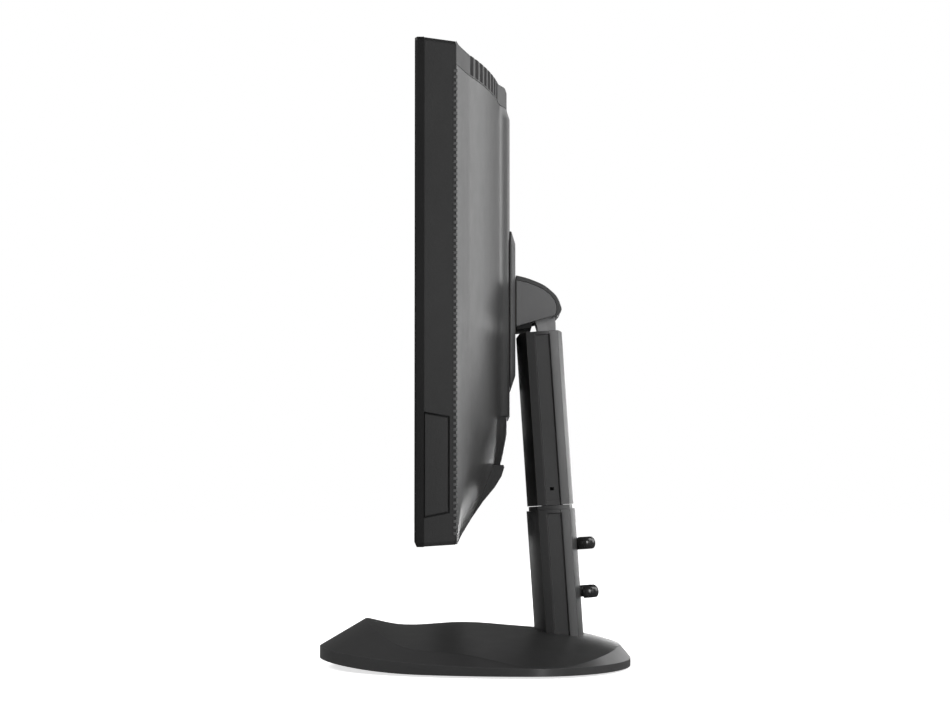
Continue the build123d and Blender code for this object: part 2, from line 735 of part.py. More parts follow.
with BuildPart() as mid_frame:
    with BuildSketch(upright(BAND_FRONT_Y)):
        with Locations((0, HEAD_MID_Z)):
            RectangleRounded(HEAD_W - 0.6, HEAD_H - 0.6, CORNER_R)
    with BuildSketch(upright(BAND_BACK_Y)):
        with Locations((0, HEAD_MID_Z - 0.65)):
            RectangleRounded(HEAD_W - 4.4, HEAD_H - 4.6, CORNER_R)
    loft()
    with BuildSketch(upright(BAND_FRONT_Y - 1)):
        with Locations((0, HEAD_MID_Z)):
            Rectangle(537, 334)
    extrude(amount=-30, mode=Mode.SUBTRACT)
    # bosses for the two cover screws
    with Locations((-CASE_SCREW_X, -21, CASE_SCREW_Z), (CASE_SCREW_X, -21, CASE_SCREW_Z)):
        Box(10, 15.9, 10.2)
    with BuildSketch(upright(-27)):
        with Locations(*case_screw_points):
            Circle(CASE_SCREW_R + RUNNING)
    extrude(amount=-20, mode=Mode.SUBTRACT)
    # opening for the blank cover in the right side
    with BuildSketch(Plane.YZ.offset(262)):
        with BuildLine():
            Polyline((-33.4, 114.8), (-17.4, 118), (-17.4, 182.4), (-33.4, 185.2), (-33.4, 114.8))
        make_face()
    extrude(amount=20, mode=Mode.SUBTRACT)
finish(mid_frame, "mid_frame")

with BuildPart() as side_blank_cover:
    with BuildSketch(Plane.YZ.offset(268.6)):
        with BuildLine():
            Polyline((-33.1, 115.2), (-17.7, 118.3), (-17.7, 182.1), (-33.1, 184.8), (-33.1, 115.2))
        make_face()
    extrude(amount=2.8)
finish(side_blank_cover, "side_blank_cover")

with BuildPart() as cover_screws:
    with BuildSketch(upright(-26)):
        with Locations(*case_screw_points):
            Circle(CASE_SCREW_R)
    extrude(amount=-14)
    with BuildSketch(upright(-12)):
        with Locations(*case_screw_points):
            Circle(2.8)
    extrude(amount=-1.2)
finish(cover_screws, "cover_screws")

button_points = [(x, BUTTON_Z) for x in MENU_X + [POWER_X]]

with BuildPart() as front_bezel:
    with BuildSketch(upright(FRONT_Y)):
        with Locations((0, HEAD_MID_Z)):
            RectangleRounded(HEAD_W, HEAD_H, CORNER_R)
    extrude(amount=-BEZEL_DEPTH)
    chamfer(front_bezel.faces().sort_by(Axis.Y)[0].outer_wire().edges(), length=1.4)
    with BuildSketch(upright(FRONT_Y + BEZEL_LIP)):
        with Locations((0, HEAD_MID_Z)):
            Rectangle(HEAD_W - 5, HEAD_H - 5)
    extrude(amount=-BEZEL_DEPTH, mode=Mode.SUBTRACT)
    with BuildSketch(upright(FRONT_Y - 1)):
        with Locations((0, SCREEN_MID_Z)):
            Rectangle(SCREEN_W, SCREEN_H)
        with Locations(*button_points):
            RectangleRounded(BUTTON_W + 2 * BUTTON_GAP, BUTTON_H + 2 * BUTTON_GAP, 1.8)
    extrude(amount=-10, mode=Mode.SUBTRACT)
finish(front_bezel, "front_bezel")


def push_button(x):
    """Cap, retaining flange and stem of one button."""
    with BuildPart() as button:
        with BuildSketch(upright(FRONT_Y + 0.1)):
            with Locations((x, BUTTON_Z)):
                RectangleRounded(BUTTON_W, BUTTON_H, 1.5)
        extrude(amount=-3.5)
        chamfer(button.faces().sort_by(Axis.Y)[0].edges(), length=0.3)
        with BuildSketch(upright(FRONT_Y + BEZEL_LIP + 0.1)):
            with Locations((x, BUTTON_Z)):
                Rectangle(BUTTON_W + 3, BUTTON_H + 3)
        extrude(amount=-1)
        with BuildSketch(upright(FRONT_Y + BEZEL_LIP + 1)):
            with Locations((x, BUTTON_Z)):
                Circle(1.5)
        extrude(amount=-1.9)
    return button


for number, x in enumerate(MENU_X, start=1):
    finish(push_button(x), f"menu_button_{number}")
finish(push_button(POWER_X), "power_button")

# ---------------------------------------------------------------- inside the head

with BuildPart() as button_board:
    with Locations((195, -33.4, BUTTON_Z)):
        Box(106, 1.6, 17)
    for x, z in button_points:
        with Locations((x, -34.3, z)):
            Box(6, 0.4, 6)
finish(button_board, "button_board")

with BuildPart() as lcd_panel:
    with Locations((0, -37.2, SCREEN_MID_Z)):
        Box(516, 1.8, 294)
finish(lcd_panel, "lcd_panel")

with BuildPart() as light_guide:
    with Locations((0, -34.3, SCREEN_MID_Z)):
        Box(514, 3.8, 292)
finish(light_guide, "light_guide")

with BuildPart() as panel_chassis:
    with Locations((0, (CHASSIS_BACK_Y - 38.1) / 2, SCREEN_MID_Z)):
        Box(520, 38.1 + CHASSIS_BACK_Y, 298)
    with Locations((0, CHASSIS_BACK_Y - 1.2 - 5, SCREEN_MID_Z)):
        Box(517.6, 10, 295.6, mode=Mode.SUBTRACT)
    # pressed studs that carry the two boards
    with BuildSketch(upright(CHASSIS_BACK_Y)):
        with Locations(*[(x, z) for x in (-104, -40, -24, 86) for z in (158, 200)]):
            Circle(2.5)
    extrude(amount=CHASSIS_BACK_Y + 12.2)
finish(panel_chassis, "panel_chassis")

with BuildPart() as mount_frame:
    with Locations((0, 21.95, PIVOT_Z)):
        Box(120, 2.7, 124)
    for side in (-1, 1):
        with Locations((side * 59, (CHASSIS_BACK_Y + 22) / 2, PIVOT_Z)):
            Box(2, 22 - CHASSIS_BACK_Y, 124)
        with Locations((side * 65, CHASSIS_BACK_Y + 1, PIVOT_Z)):
            Box(14, 2, 124)
    with BuildSketch(upright(15)):
        with Locations((0, PIVOT_Z)):
            Circle(20)
        with Locations(*mount_points):
            Circle(2.05)
    extrude(amount=-20, mode=Mode.SUBTRACT)
finish(mount_frame, "mount_frame")


def circuit_board(low_x, high_x, tall):
    """Board with a few raised components on its back."""
    width = high_x - low_x
    with BuildPart() as board:
        with Locations(((low_x + high_x) / 2, -11.4, 178.8)):
            Box(width, 1.6, 51)
        for column in range(4):
            for row in range(2):
                x = low_x + width * (column + 0.5) / 4
                with Locations((x, -10.6 + (tall - row * 4) / 2, 178 + row * 18)):
                    Box(width / 8, tall - row * 4, 9)
    return board


finish(circuit_board(-30, 92, 8), "main_board")
finish(circuit_board(-110, -34, 14), "power_board")

with BuildPart() as board_shield:
    with Locations((0, -3.5, 187)):
        Box(228, 20, 39)
    with Locations((0, -4.5, 186)):
        Box(226, 20, 39, mode=Mode.SUBTRACT)
finish(board_shield, "board_shield")

socket_sizes = [(-12, 16, 6), (24, 38, 10), (66, 13, 11)]
with BuildPart() as socket_bracket:
    with Locations((0, -13.85, 125)):
        Box(190, 1.5, 48)
    with Locations((0, -0.9, BAY_ROOF + 0.8)):
        Box(190, 25.8, 1.6)
    with Locations((INLET_X, 0, BAY_ROOF)):
        Box(28.2, 20.6, 10, mode=Mode.SUBTRACT)
    for x, width, depth in socket_sizes:
        with Locations((x, -10.4 + depth / 2, BAY_ROOF)):
            Box(width + 0.6, depth + 0.6, 10, mode=Mode.SUBTRACT)
finish(socket_bracket, "socket_bracket")

with BuildPart() as video_sockets:
    for x, width, depth in socket_sizes:
        with Locations((x, -10.4 + depth / 2, 154)):
            Box(width, depth, 16)
        with Locations((x, -10.4 + depth / 2, 147)):
            Box(width - 2.4, depth - 2.4, 8, mode=Mode.SUBTRACT)
finish(video_sockets, "video_sockets")

with BuildPart() as power_inlet:
    with Locations((INLET_X, 0, 156)):
        Box(27.6, 20, 20)
    with Locations((INLET_X, 0, BAY_ROOF - 0.85)):
        Box(34, 23, 1.5)
    with Locations((INLET_X, 0, 150)):
        Box(24.2, 16.6, 22, mode=Mode.SUBTRACT)
    with Locations((INLET_X - 7, 0, 156.5), (INLET_X + 7, 0, 156.5), (INLET_X, -3.7, 156.5)):
        Box(2, 4, 9.4)
finish(power_inlet, "power_inlet")
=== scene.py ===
import json
import math

import bmesh
import bpy
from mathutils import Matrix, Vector


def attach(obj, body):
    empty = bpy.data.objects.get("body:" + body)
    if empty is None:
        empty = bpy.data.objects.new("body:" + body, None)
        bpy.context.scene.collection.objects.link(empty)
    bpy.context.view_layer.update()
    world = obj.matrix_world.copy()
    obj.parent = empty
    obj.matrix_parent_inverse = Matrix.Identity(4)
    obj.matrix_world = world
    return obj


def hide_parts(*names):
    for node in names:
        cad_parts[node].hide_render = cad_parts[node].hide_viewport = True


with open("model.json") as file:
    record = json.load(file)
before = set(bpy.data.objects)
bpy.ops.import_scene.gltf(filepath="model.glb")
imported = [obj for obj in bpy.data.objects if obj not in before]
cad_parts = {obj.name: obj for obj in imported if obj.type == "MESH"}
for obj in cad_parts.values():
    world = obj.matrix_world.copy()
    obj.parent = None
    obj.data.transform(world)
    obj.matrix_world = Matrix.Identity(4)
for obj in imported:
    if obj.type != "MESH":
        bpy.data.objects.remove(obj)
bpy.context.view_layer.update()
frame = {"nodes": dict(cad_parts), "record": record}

# Sizes below are in millimetres, and become metres where a mesh is made.
MM = 0.001

# Head
HEAD_HALF_W = 273.5
HEAD_LOW = 95.0
HEAD_HIGH = 439.0
FRONT_Y = -40.6
BAND_FRONT_Y = -34.3
BAND_BACK_Y = -13.0
WINDOW_HALF_W = 254.6
WINDOW_LOW = 133.6
WINDOW_HIGH = 420.0
BUTTON_Z = 109.0
BUTTON_X = (152.0, 172.0, 192.0, 212.0, 238.0)
BUTTON_HOLE = (5.8, 2.8)

# Back of the head
REAR_HALF_W = 271.2
STRIP_START = 273.5
STRIP_SLOPE = 0.174
CREASE = (
    (97, 267), (99, 267), (104, 265.6), (114, 260.5), (125, 252.5), (140, 241.5), (154, 227), (175, 221),
)
SWELL = ((97, 0.0), (113, 0.34), (130, 0.62), (150, 0.86), (175, 1.0))
CREASE_X = 221.0
PROFILE = (
    (0, 26.0), (20, 26.0), (40, 26.0), (56, 25.95), (63, 25.0), (71, 22.0), (79, 19.3), (87, 17.8),
    (95, 17.0), (108, 15.75), (124, 13.9), (150, 10.27), (190, 3.1), (221, -3.77),
)
PLAIN_PEAK = 23.8
PANEL_HALF_W = 93.0
PANEL_LOW = 189.0
PANEL_HIGH = 412.5
PANEL_END_SLOPE = 0.33
BAY_HALF_W = 98.0
BAY_TOP = 152.6
VENT_LOW = 420.0
VENT_TOP = 436.2
VENT_ROUND = 3.0
SKIN = 2.5
SLOTS = 8
SLOT_FIRST = 214.0
SLOT_PITCH = 15.6
SLOT_W = 10.0

# Seam teeth between the band and the rear shell
TOOTH_PITCH = 4.1
TOOTH = 2.0
TEETH_LOW = 103.0
TEETH_HIGH = 419.0

# Column, along its own leaning axis
LEAN = math.radians(3.8)
FOOT_Y = 67.3
COLUMN_HALF_W = 43.0
SIDE_CROWN = 1.0
RECESS_HALF = 5.0
RECESS_CHAMFER = 0.8
RECESS_CHAMFER_DEPTH = 1.3

# Hinge cover: its crown, nose and side plate in depth and height
HOOD_BACK = 31.1
HOOD_MIDDLE = (46.0, 275.0)
HOOD_CROWN = (
    (31.1, 297.2), (38.1, 295.6), (46.9, 292.4), (53.8, 288.9), (59.6, 284.0), (63.7, 278.4), (65.7, 272.9),
)
HOOD_NOSE = ((65.9, 271.3), (65.3, 269.4), (63.4, 266.8), (62.0, 266.0), (60.6, 266.4), (31.1, 258.2))
HOOD_PLATE = (
    (31.2, 293.7), (39.3, 291.9), (46.9, 289.0), (52.6, 286.1), (57.3, 282.4), (60.5, 278.3), (61.9, 274.1),
    (62.0, 270.0), (60.6, 266.7), (31.2, 258.3),
)
# Dark sheet under the cover's back, painted shade for the gap beneath it, in depth and height
HOOD_SHADE_SHEET = ((31.4, 255.6), (43.0, 257.0), (43.0, 262.6), (31.4, 259.6))

# Base
BASE_CENTRE_Y = 40.0
BASE_LOW = 1.6
DOME = ((-130, 39), (-84, 36.4), (-62, 31.8), (-15, 33), (30, 30.5), (83, 25), (110, 17.5), (130, 9))
DOME_DROP = 19.0
DOME_HALF_W = 148.0
BEVEL_FOOT = 7.4
BEVEL_RISE = 29.6
LIP_START_Y = -40.0
LIP_R = 550.7


# ---------------------------------------------------------------- meshes


def link(name, mesh):
    """A new object in the scene."""
    piece = bpy.data.objects.new(name, mesh)
    bpy.context.scene.collection.objects.link(piece)
    return piece


def solid(name, points, faces):
    """An object from points in millimetres, welded, with every face turned outwards."""
    shape = bmesh.new()
    corners = [shape.verts.new(Vector(p) * MM) for p in points]
    for face in faces:
        shape.faces.new([corners[k] for k in face])
    bmesh.ops.remove_doubles(shape, verts=shape.verts, dist=2e-6)
    bmesh.ops.dissolve_degenerate(shape, edges=shape.edges, dist=1e-6)
    loose = [v for v in shape.verts if not v.link_faces]
    bmesh.ops.delete(shape, geom=loose, context="VERTS")
    bmesh.ops.recalc_face_normals(shape, faces=shape.faces)
    mesh = bpy.data.meshes.new(name)
    shape.to_mesh(mesh)
    shape.free()
    return link(name, mesh)


def lofted(loops, around=False):
    """Points and faces through matching closed loops. The ends are capped, unless around joins them."""
    count = len(loops[0])
    points = [p for loop in loops for p in loop]
    faces = []
    for row in range(len(loops) if around else len(loops) - 1):
        here = row * count
        there = (row + 1) % len(loops) * count
        for k in range(count):
            n = (k + 1) % count
            faces.append((here + k, here + n, there + n, there + k))
    if not around:
        faces.append(tuple(range(count)))
        faces.append(tuple(range(len(points) - count, len(points))))
    return points, faces


def thick_grid(outer, inner, keep):
    """Points and faces of a closed sheet between two grids, with rims at edges and left-out cells."""
    rows = len(outer)
    columns = len(outer[0])
    half = rows * columns
    points = [p for row in outer for p in row] + [p for row in inner for p in row]

    def kept(i, j):
        return 0 <= i < rows - 1 and 0 <= j < columns - 1 and keep(i, j)

    faces = []
    for i in range(rows - 1):
        for j in range(columns - 1):
            if not kept(i, j):
                continue
            a, b = i * columns + j, i * columns + j + 1
            d, c = a + columns, b + columns
            faces += [(a, b, c, d), (a + half, d + half, c + half, b + half)]
            sides = ((a, b, i - 1, j), (b, c, i, j + 1), (c, d, i + 1, j), (d, a, i, j - 1))
            faces += [(p, p + half, q + half, q) for p, q, ni, nj in sides if not kept(ni, nj)]
    return points, faces


def bake(piece):
    """Turn the piece's modifiers into its mesh."""
    depsgraph = bpy.context.evaluated_depsgraph_get()
    mesh = bpy.data.meshes.new_from_object(piece.evaluated_get(depsgraph))
    piece.modifiers.clear()
    piece.data = mesh


def cut(piece, cutter):
    """Take the cutter's shape out of the piece."""
    boolean = piece.modifiers.new("cut", "BOOLEAN")
    boolean.object = cutter
    boolean.solver = "EXACT"
    bake(piece)
    bpy.data.objects.remove(cutter)


def soften(piece, width, segments=2, angle=32):
    """Round the piece's sharp edges and shade it smoothly."""
    for polygon in piece.data.polygons:
        polygon.use_smooth = True
    if width:
        bevel = piece.modifiers.new("edges", "BEVEL")
        bevel.width = width * MM
        bevel.segments = segments
        bevel.limit_method = "ANGLE"
        bevel.angle_limit = math.radians(angle)
    piece.modifiers.new("shading", "WEIGHTED_NORMAL").keep_sharp = True
    bake(piece)


def place(piece, body, slot, *nodes):
    """Give the piece its finish and body, and let it stand for its CAD nodes."""
    piece.data.materials.clear()
    piece.data.materials.append(finish[slot])
    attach(piece, body)
    if nodes:
        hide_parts(*nodes)
    return piece


def joined(node, name):
    """A copy of a CAD node's shape with its facets joined into whole faces."""
    shape = bmesh.new()
    shape.from_mesh(frame["nodes"][node].data)
    bmesh.ops.remove_doubles(shape, verts=shape.verts, dist=2e-6)
    bmesh.ops.dissolve_limit(
        shape,
        angle_limit=math.radians(0.5),
        verts=shape.verts,
        edges=shape.edges,
        use_dissolve_boundaries=False,
    )
    mesh = bpy.data.meshes.new(name)
    shape.to_mesh(mesh)
    shape.free()
    return link(name, mesh)


def refined(node, name, body, slot, width, segments=2, angle=32):
    """A CAD node's shape with its edges rounded."""
    piece = joined(node, name)
    soften(piece, width, segments, angle)
    return place(piece, body, slot, node)


def rounded(half_w, low, high, radius, y, steps=6):
    """A rounded rectangle that faces along Y, as a loop of points."""
    points = []
    corners = (
        (half_w - radius, high - radius),
        (radius - half_w, high - radius),
        (radius - half_w, low + radius),
        (half_w - radius, low + radius),
    )
    for quarter, (x, z) in enumerate(corners):
        for step in range(steps + 1):
            angle = math.pi / 2 * (quarter + step / steps)
            points.append((x + radius * math.cos(angle), y, z + radius * math.sin(angle)))
    return points


def prism(name, outline, axis, start, end):
    """A plain prism for cutting: the outline's two numbers fill the axes other than the given one."""
    loops = []
    for level in (start, end):
        loop = []
        for p in outline:
            point = list(p)
            point.insert("xyz".index(axis), level)
            loop.append(tuple(point))
        loops.append(loop)
    return solid(name, *lofted(loops))


def between(table, at):
    """Linear interpolation in a table of (place, value) rows."""
    if at <= table[0][0]:
        return table[0][1]
    for (a, low), (b, high) in zip(table, table[1:]):
        if at <= b:
            return low + (high - low) * (at - a) / (b - a)
    return table[-1][1]


def smooth_curve(table):
    """A natural cubic spline through a table of (place, value) rows, as a function."""
    xs = [p for p, _ in table]
    ys = [v for _, v in table]
    n = len(xs)
    diagonal = [1.0] * n
    upper = [0.0] * n
    bend = [0.0] * n
    for k in range(1, n - 1):
        left, right = xs[k] - xs[k - 1], xs[k + 1] - xs[k]
        target = 6 * ((ys[k + 1] - ys[k]) / right - (ys[k] - ys[k - 1]) / left)
        diagonal[k] = 2 * (left + right) - left * upper[k - 1]
        upper[k] = right / diagonal[k]
        bend[k] = (target - left * bend[k - 1]) / diagonal[k]
    for k in range(n - 2, 0, -1):
        bend[k] -= upper[k] * bend[k + 1]

    def curve(x):
        k = max(0, min(n - 2, sum(1 for p in xs if p <= x) - 1))
        width = xs[k + 1] - xs[k]
        a, b = (xs[k + 1] - x) / width, (x - xs[k]) / width
        arch = ((a**3 - a) * bend[k] + (b**3 - b) * bend[k + 1]) * width * width / 6
        return a * ys[k] + b * ys[k + 1] + arch

    return curve


# ---------------------------------------------------------------- materials


class Tree:
    """A material's node tree, with short ways to add and join nodes."""

    def __init__(self, name):
        self.material = bpy.data.materials.new(name)
        self.material.use_nodes = True
        self.nodes = self.material.node_tree.nodes
        self.links = self.material.node_tree.links
        self.shader = self.nodes["Principled BSDF"]
        self.place = self.add("ShaderNodeTexCoord").outputs["Object"]

    def add(self, kind, **settings):
        node = self.nodes.new(kind)
        for key, value in settings.items():
            setattr(node, key, value)
        return node

    def join(self, source, target):
        self.links.new(source, target)

    def noise(self, scale, detail=3.0, rough=0.55, stretch=(1, 1, 1)):
        """Noise in object space, in repeats per metre."""
        mapping = self.add("ShaderNodeMapping")
        mapping.inputs["Scale"].default_value = stretch
        self.join(self.place, mapping.inputs["Vector"])
        noise = self.add("ShaderNodeTexNoise")
        noise.inputs["Scale"].default_value = scale
        noise.inputs["Detail"].default_value = detail
        noise.inputs["Roughness"].default_value = rough
        self.join(mapping.outputs["Vector"], noise.inputs["Vector"])
        return noise.outputs["Fac"]

    def cells(self, scale):
        """Small rounded cells, as on spark-eroded moulds."""
        cells = self.add("ShaderNodeTexVoronoi", feature="SMOOTH_F1")
        cells.inputs["Scale"].default_value = scale
        self.join(self.place, cells.inputs["Vector"])
        return cells.outputs["Distance"]

    def spread(self, value, low, high, start=0.3, end=0.7):
        """Map a value to a range."""
        spread = self.add("ShaderNodeMapRange")
        for key, number in (("From Min", start), ("From Max", end), ("To Min", low), ("To Max", high)):
            spread.inputs[key].default_value = number
        self.join(value, spread.inputs["Value"])
        return spread.outputs["Result"]

    def blend(self, amount, first, second):
        """Mix two colours; each is a colour or a socket."""
        mix = self.add("ShaderNodeMix", data_type="RGBA")
        self.join(amount, mix.inputs["Factor"])
        for socket, colour in ((mix.inputs[6], first), (mix.inputs[7], second)):
            if isinstance(colour, tuple):
                socket.default_value = (*colour, 1.0)
            else:
                self.join(colour, socket)
        return mix.outputs[2]

    def edges(self, radius=0.7, strength=3.0):
        """1 on convex edges and corners, 0 elsewhere."""
        bevel = self.add("ShaderNodeBevel", samples=4)
        bevel.inputs["Radius"].default_value = radius * MM
        plain = self.add("ShaderNodeNewGeometry").outputs["Normal"]
        dot = self.add("ShaderNodeVectorMath", operation="DOT_PRODUCT")
        self.join(bevel.outputs["Normal"], dot.inputs[0])
        self.join(plain, dot.inputs[1])
        return self.spread(dot.outputs["Value"], 1.0, 0.0, 1 - 0.3 / strength, 0.995)

    def bump(self, height, depth, strength=1.0):
        """Raise the surface by height times depth, in millimetres."""
        bump = self.add("ShaderNodeBump")
        bump.inputs["Strength"].default_value = strength
        bump.inputs["Distance"].default_value = depth * MM
        previous = self.shader.inputs["Normal"].links
        if previous:
            self.join(previous[0].from_socket, bump.inputs["Normal"])
        self.join(height, bump.inputs["Height"])
        self.join(bump.outputs["Normal"], self.shader.inputs["Normal"])


def grey(level):
    return (level, level, level * 1.01)


def plastic(name, dark, light, rough, grain, depth, specular=0.35, wear=1.6, tint=grey, speckle=0.35):
    """Moulded plastic: eroded grain, fine speckle, faint clouding, and paler edges."""
    tree = Tree(name)
    cloud = tree.noise(14.0, 4.0)
    fine = tree.noise(grain * 2.6, 2.0, 0.7)
    cells = tree.cells(grain)
    base = tree.blend(tree.spread(cloud, 0.0, 1.0, 0.3, 0.7), tint(dark), tint(light))
    speckled = tree.blend(tree.spread(fine, 0.0, speckle, 0.35, 0.72), base, tint(light * 2.0))
    edge = tree.edges()
    worn = tree.blend(tree.spread(edge, 0.0, 0.55, 0.2, 1.0), speckled, tint(light * wear + 0.01))
    tree.join(worn, tree.shader.inputs["Base Color"])
    patches = tree.noise(60.0, 5.0, 0.6)
    tree.join(tree.spread(patches, rough - 0.02, rough + 0.02), tree.shader.inputs["Roughness"])
    tree.shader.inputs["Specular IOR Level"].default_value = specular
    tree.bump(cells, depth)
    tree.bump(fine, depth * 0.5)
    return tree.material


def metal(name, dark, light, rough, stretch, depth=0.01, tint=grey, metallic=1.0):
    """Plated or brushed metal: fine drawn lines, mottled plating and bright edges."""
    tree = Tree(name)
    lines = tree.noise(900.0, 3.0, 0.6, stretch)
    mottle = tree.noise(70.0, 5.0)
    base = tree.blend(tree.spread(mottle, 0.0, 1.0, 0.35, 0.65), tint(dark), tint(light))
    edge = tree.edges(0.5)
    worn = tree.blend(tree.spread(edge, 0.0, 0.7), base, tint(min(0.9, light * 1.5)))
    tree.join(worn, tree.shader.inputs["Base Color"])
    tree.join(tree.spread(lines, rough - 0.08, rough + 0.1), tree.shader.inputs["Roughness"])
    tree.shader.inputs["Metallic"].default_value = metallic
    tree.bump(lines, depth)
    return tree.material


def lacquered_board(name):
    """Green solder mask over faint copper tracks."""
    tree = Tree(name)
    weave = tree.add("ShaderNodeTexBrick")
    weave.inputs["Scale"].default_value = 160.0
    weave.inputs["Mortar Size"].default_value = 0.08
    tree.join(tree.place, weave.inputs["Vector"])
    patches = tree.noise(220.0, 4.0)
    base = tree.blend(weave.outputs["Fac"], (0.012, 0.09, 0.035), (0.03, 0.19, 0.08))
    mottled = tree.blend(tree.spread(patches, 0.0, 0.5), base, (0.01, 0.05, 0.02))
    tree.join(mottled, tree.shader.inputs["Base Color"])
    tree.join(tree.spread(patches, 0.25, 0.45), tree.shader.inputs["Roughness"])
    tree.bump(weave.outputs["Fac"], 0.04)
    return tree.material


def screen_film(name):
    """Dark display glass under a fine anti-glare film."""
    tree = Tree(name)
    haze = tree.noise(3800.0, 2.0, 0.7)
    cloud = tree.noise(6.0, 3.0)
    tree.join(
        tree.blend(tree.spread(cloud, 0.0, 1.0), (0.006, 0.006, 0.008), (0.011, 0.011, 0.014)),
        tree.shader.inputs["Base Color"],
    )
    tree.join(tree.spread(haze, 0.22, 0.34), tree.shader.inputs["Roughness"])
    tree.bump(haze, 0.012)
    return tree.material


def bronze_tint(level):
    return (level, level * 0.66, level * 0.3)


def ivory(level):
    return (level, level * 0.98, level * 0.92)


along_z = (1.0, 1.0, 0.06)
finish = {
    "bezel_plastic": plastic("bezel_plastic", 0.005, 0.007, 0.42, 1500, 0.02, 0.15, 1.5),
    "band_plastic": plastic("band_plastic", 0.010, 0.013, 0.5, 1100, 0.035, 0.2, 1.8, speckle=0.6),
    "rear_plastic": plastic("rear_plastic", 0.013, 0.015, 0.3, 750, 0.04, 0.45, 1.4, speckle=0.6),
    "vent_plastic": plastic("vent_plastic", 0.03, 0.036, 0.45, 1600, 0.015, 0.35, 1.3, speckle=0.15),
    "stand_plastic": plastic("stand_plastic", 0.019, 0.023, 0.36, 1400, 0.012, 0.45, 2.6, speckle=0.2),
    "hinge_plastic": plastic("hinge_plastic", 0.03, 0.037, 0.42, 1200, 0.02, 0.35, 1.6, speckle=0.25),
    "hook_plastic": plastic("hook_plastic", 0.010, 0.014, 0.24, 1300, 0.008, 0.5, 1.8, speckle=0.1),
    "neck_metal": metal("neck_metal", 0.2, 0.24, 0.45, (1, 1, 1), 0.02, metallic=0.5),
    "steel": metal("steel", 0.42, 0.5, 0.36, (1, 0.08, 1)),
    "slide_steel": metal("slide_steel", 0.06, 0.09, 0.4, along_z),
    "screw_steel": metal("screw_steel", 0.4, 0.46, 0.3, (1, 0.2, 1)),
    "pad_plastic": plastic("pad_plastic", 0.5, 0.56, 0.4, 900, 0.01, 0.4, 1.1, ivory, 0.05),
    "bronze": metal("bronze", 0.42, 0.5, 0.42, (1, 1, 1), 0.02, bronze_tint),
    "rubber": plastic("rubber", 0.012, 0.018, 0.75, 700, 0.05, 0.2, 1.4, speckle=0.3),
    "screen": screen_film("screen"),
    "acrylic": plastic("acrylic", 0.6, 0.66, 0.25, 300, 0.01, 0.5, 1.05, speckle=0.02),
    "board": lacquered_board("board"),
    "socket_plastic": plastic("socket_plastic", 0.012, 0.016, 0.45, 1200, 0.015, 0.35, 1.4, speckle=0.2),
    "hinge_side": plastic("hinge_side", 0.085, 0.095, 0.5, 1500, 0.012, 0.3, 1.3, speckle=0.12),
}

for subpart in frame["record"]["subparts"]:
    node_mesh = frame["nodes"][subpart["node"]].data
    node_mesh.materials.clear()
    node_mesh.materials.append(finish[subpart["material_slot"]])


# ---------------------------------------------------------------- head


def front_bezel():
    """Frame round the picture: lip, front face, sloping outer edge and side."""
    window = (WINDOW_HALF_W, WINDOW_LOW, WINDOW_HIGH)
    loops = [
        rounded(window[0], window[1], window[2], 0.6, FRONT_Y + 2.4),
        rounded(window[0], window[1], window[2], 0.6, FRONT_Y + 0.6),
        rounded(window[0] + 0.5, window[1] - 0.5, window[2] + 0.5, 1.0, FRONT_Y),
        rounded(HEAD_HALF_W - 1.2, HEAD_LOW + 3.4, HEAD_HIGH - 0.8, 2.4, FRONT_Y),
        rounded(HEAD_HALF_W, HEAD_LOW, HEAD_HIGH, 3.0, FRONT_Y + 1.6),
        rounded(HEAD_HALF_W, HEAD_LOW, HEAD_HIGH, 3.0, BAND_FRONT_Y),
        rounded(HEAD_HALF_W - 2.5, HEAD_LOW + 2.5, HEAD_HIGH - 2.5, 2.0, BAND_FRONT_Y),
        rounded(HEAD_HALF_W - 2.5, HEAD_LOW + 2.5, HEAD_HIGH - 2.5, 2.0, FRONT_Y + 2.4),
    ]
    bezel = solid("bezel_frame", *lofted(loops, around=True))
    for x in BUTTON_X:
        hole = [
            tuple(p + c for p, c in zip(point, (x, 0.0, BUTTON_Z)))
            for point in rounded(BUTTON_HOLE[0], -BUTTON_HOLE[1], BUTTON_HOLE[1], 1.8, FRONT_Y - 2)
        ]
        back = [(px, FRONT_Y + 5, pz) for px, _, pz in hole]
        cut(bezel, solid("button_hole", *lofted([hole, back])))
    soften(bezel, 0.3, 2, 25)
    return place(bezel, "head", "bezel_plastic", "front_bezel")


def side_band():
    """Drafted band behind the bezel, with a pocket for the blank cover in its right side."""
    back_low, back_high = HEAD_LOW + 1.65, HEAD_HIGH - 2.95
    band = solid("side_band", *lofted([
        rounded(HEAD_HALF_W - 0.3, HEAD_LOW + 0.3, HEAD_HIGH - 0.3, 3.0, BAND_FRONT_Y),
        rounded(HEAD_HALF_W - 2.2, back_low, back_high, 3.0, BAND_BACK_Y),
        rounded(HEAD_HALF_W - 5.0, back_low + 3.0, back_high - 3.0, 1.5, BAND_BACK_Y),
        rounded(HEAD_HALF_W - 5.0, HEAD_LOW + 5.0, HEAD_HIGH - 5.0, 1.5, BAND_FRONT_Y),
    ], around=True))
    pocket = ((-34.6, 114.3), (-17.1, 117.8), (-17.1, 182.6), (-34.6, 185.6))
    cut(band, prism("pocket", pocket, "x", 269.8, 280))
    soften(band, 0.35, 2, 25)
    return place(band, "head", "band_plastic", "mid_frame")


def blank_cover():
    """Flush cover in the band's pocket, following the band's draft."""
    outline = ((-33.9, 115.5), (-18.0, 118.6), (-18.0, 181.8), (-33.9, 184.5))
    loops = []
    for level in (269.9, None):
        loops.append([(level or 273.2 - (y - BAND_FRONT_Y) * 0.089, y, z) for y, z in outline])
    cover = solid("blank_cover", *lofted(loops))
    soften(cover, 0.7, 2, 25)
    return place(cover, "head", "band_plastic", "side_blank_cover")


def crease_at(z):
    return between(CREASE, z)


profile = smooth_curve(PROFILE)


